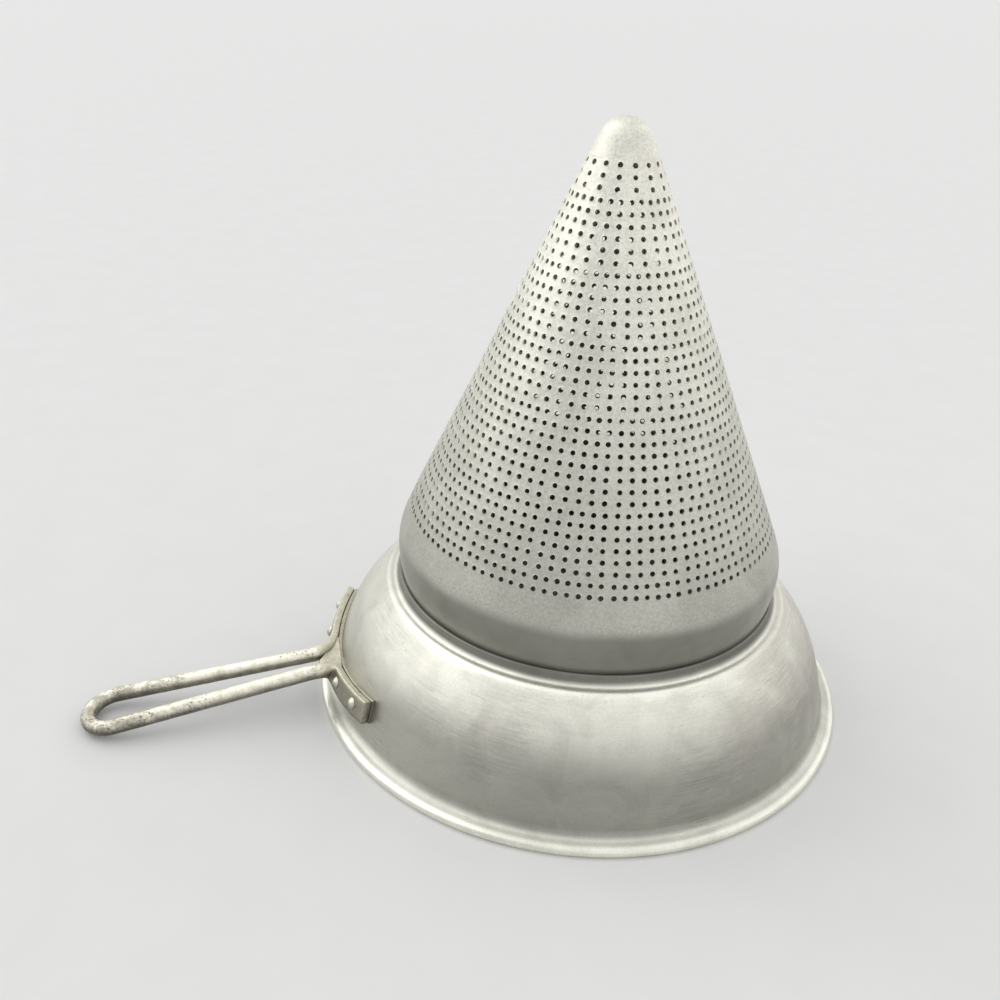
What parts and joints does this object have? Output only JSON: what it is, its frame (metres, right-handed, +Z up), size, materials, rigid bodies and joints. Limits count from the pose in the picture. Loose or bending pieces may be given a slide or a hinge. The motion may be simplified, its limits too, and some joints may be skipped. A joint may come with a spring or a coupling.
{
  "type": "cone colander",
  "caption": "Spun, punched cone set in a round bowl with a rolled rim and a riveted hairpin rod handle, standing rim down.",
  "frame": {"origin": "centre of the flat land under the rolled rim, on the axis of the bowl and cone, on the rest plane", "axes": "+Z up along the axis towards the cone's tip, -X out along the handle's middle line"},
  "size_m": [0.3686, 0.2582, 0.2702],
  "materials": {
    "cone_sheet": "dull spun aluminium, finely scratched",
    "bowl_sheet": "dull spun aluminium, stained and scratched",
    "handle_rod": "pale oxidised and pitted rod",
    "strap_metal": "pale oxidised and pitted strap",
    "rivet_metal": "bright domed rivet heads"
  },
  "bodies": {
    "root": {"perforated_cone": "cone_sheet", "bowl": "bowl_sheet", "handle": "handle_rod", "backing_strap": "strap_metal", "rivet_1": "rivet_metal", "rivet_2": "rivet_metal", "rivet_3": "rivet_metal", "rivet_4": "rivet_metal"}
  },
  "joints": []
}
